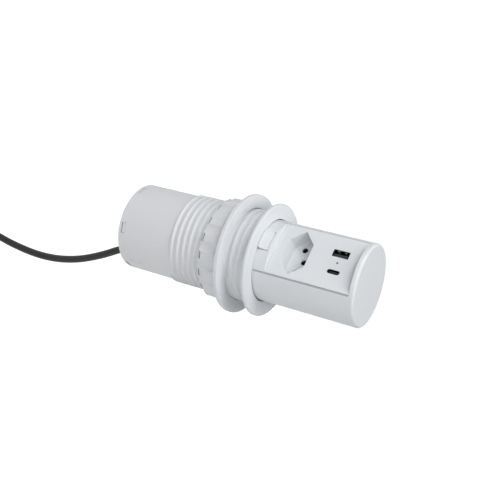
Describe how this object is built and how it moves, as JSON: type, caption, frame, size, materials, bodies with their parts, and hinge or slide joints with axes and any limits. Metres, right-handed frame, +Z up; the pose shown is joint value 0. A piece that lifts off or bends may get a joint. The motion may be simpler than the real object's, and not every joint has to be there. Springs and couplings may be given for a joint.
{
  "type": "desk socket tower",
  "caption": "Round pop-up desk tower with a recessed three-pin socket and charging ports, in a threaded sleeve held by a collar and a ring nut, with its mains cord.",
  "frame": {"origin": "on the tower's axis in the plane of the desk's top, under the collar", "axes": "+Z up along the tower's axis, towards the cap; -Y out of the flat face with the socket"},
  "size_m": [0.0933, 0.0896, 0.5913],
  "materials": {
    "shell_white": "fine satin moulding, cool white",
    "sleeve_white": "fine satin moulding, cool white",
    "recess_white": "satin moulding, cool white, in the recess",
    "catch_white": "smooth moulding, cool white",
    "cord_black": "satin black cord sheath",
    "black_plastic": "satin black moulding",
    "bright_contact": "smooth contact metal",
    "port_metal": "drawn sheet steel",
    "screw_steel": "zinc plated steel",
    "board_green": "printed board",
    "ferrite": "sintered ferrite",
    "winding_tape": "yellow winding tape",
    "light_lens": "clear light guide",
    "insulator": "pale insulating moulding"
  },
  "bodies": {
    "housing": {"housing_sleeve": "sleeve_white", "collar_ring": "shell_white", "bottom_cap": "sleeve_white", "cable_gland": "black_plastic", "gland_locknut": "black_plastic", "inner_lead": "cord_black", "cord_lead": "cord_black", "cord_hank": "cord_black", "hank_tie": "black_plastic", "plug_body": "black_plastic", "plug_pins": "port_metal"},
    "tower": {"tower_back_shell": "shell_white", "front_foot": "shell_white", "socket_faceplate": "shell_white", "tower_cap": "shell_white", "base_plate": "shell_white", "base_screws": "screw_steel", "lead_grommet": "cord_black", "tower_lead": "cord_black", "terminal_block": "insulator", "terminal_screws": "screw_steel", "mains_wires": "cord_black", "socket_cup": "recess_white", "contact_carrier": "insulator", "line_contact": "bright_contact", "neutral_contact": "bright_contact", "earth_contact": "bright_contact", "contact_cover": "insulator", "charger_board": "board_green", "wide_port_shell": "port_metal", "wide_port_tongue": "black_plastic", "slim_port_shell": "port_metal", "slim_port_tongue": "black_plastic", "status_light": "light_lens", "transformer_core": "ferrite", "transformer_winding": "winding_tape", "capacitors": "black_plastic", "catch_spring": "screw_steel"},
    "catch": {"release_catch": "catch_white"},
    "washer": {"clamp_washer": "sleeve_white"},
    "nut": {"ring_nut": "sleeve_white"}
  },
  "joints": [
    {"name": "tower_slide", "type": "slide", "parent": "housing", "child": "tower", "axis": [0, 0, 1], "range_m": [-0.072, 0], "deforming": ["inner_lead"]},
    {"name": "catch_press", "type": "slide", "parent": "tower", "child": "catch", "axis": [0, 1, 0], "range_m": [0, 0.0023], "stiffness_N_per_m": 800, "springref_m": -0.001, "deforming": ["catch_spring"]},
    {"name": "washer_travel", "type": "slide", "parent": "housing", "child": "washer", "axis": [0, 0, 1], "range_m": [-0.02, 0.014]},
    {"name": "nut_turn", "type": "hinge", "parent": "washer", "child": "nut", "pos_m": [0, 0, -0.03], "axis": [0, 0, 1], "range_deg": [-1430, 1000]}
  ],
  "couplings": [
    {"joint": "washer_travel", "follows": "nut_turn", "m_per_rad": 0.00079577}
  ]
}
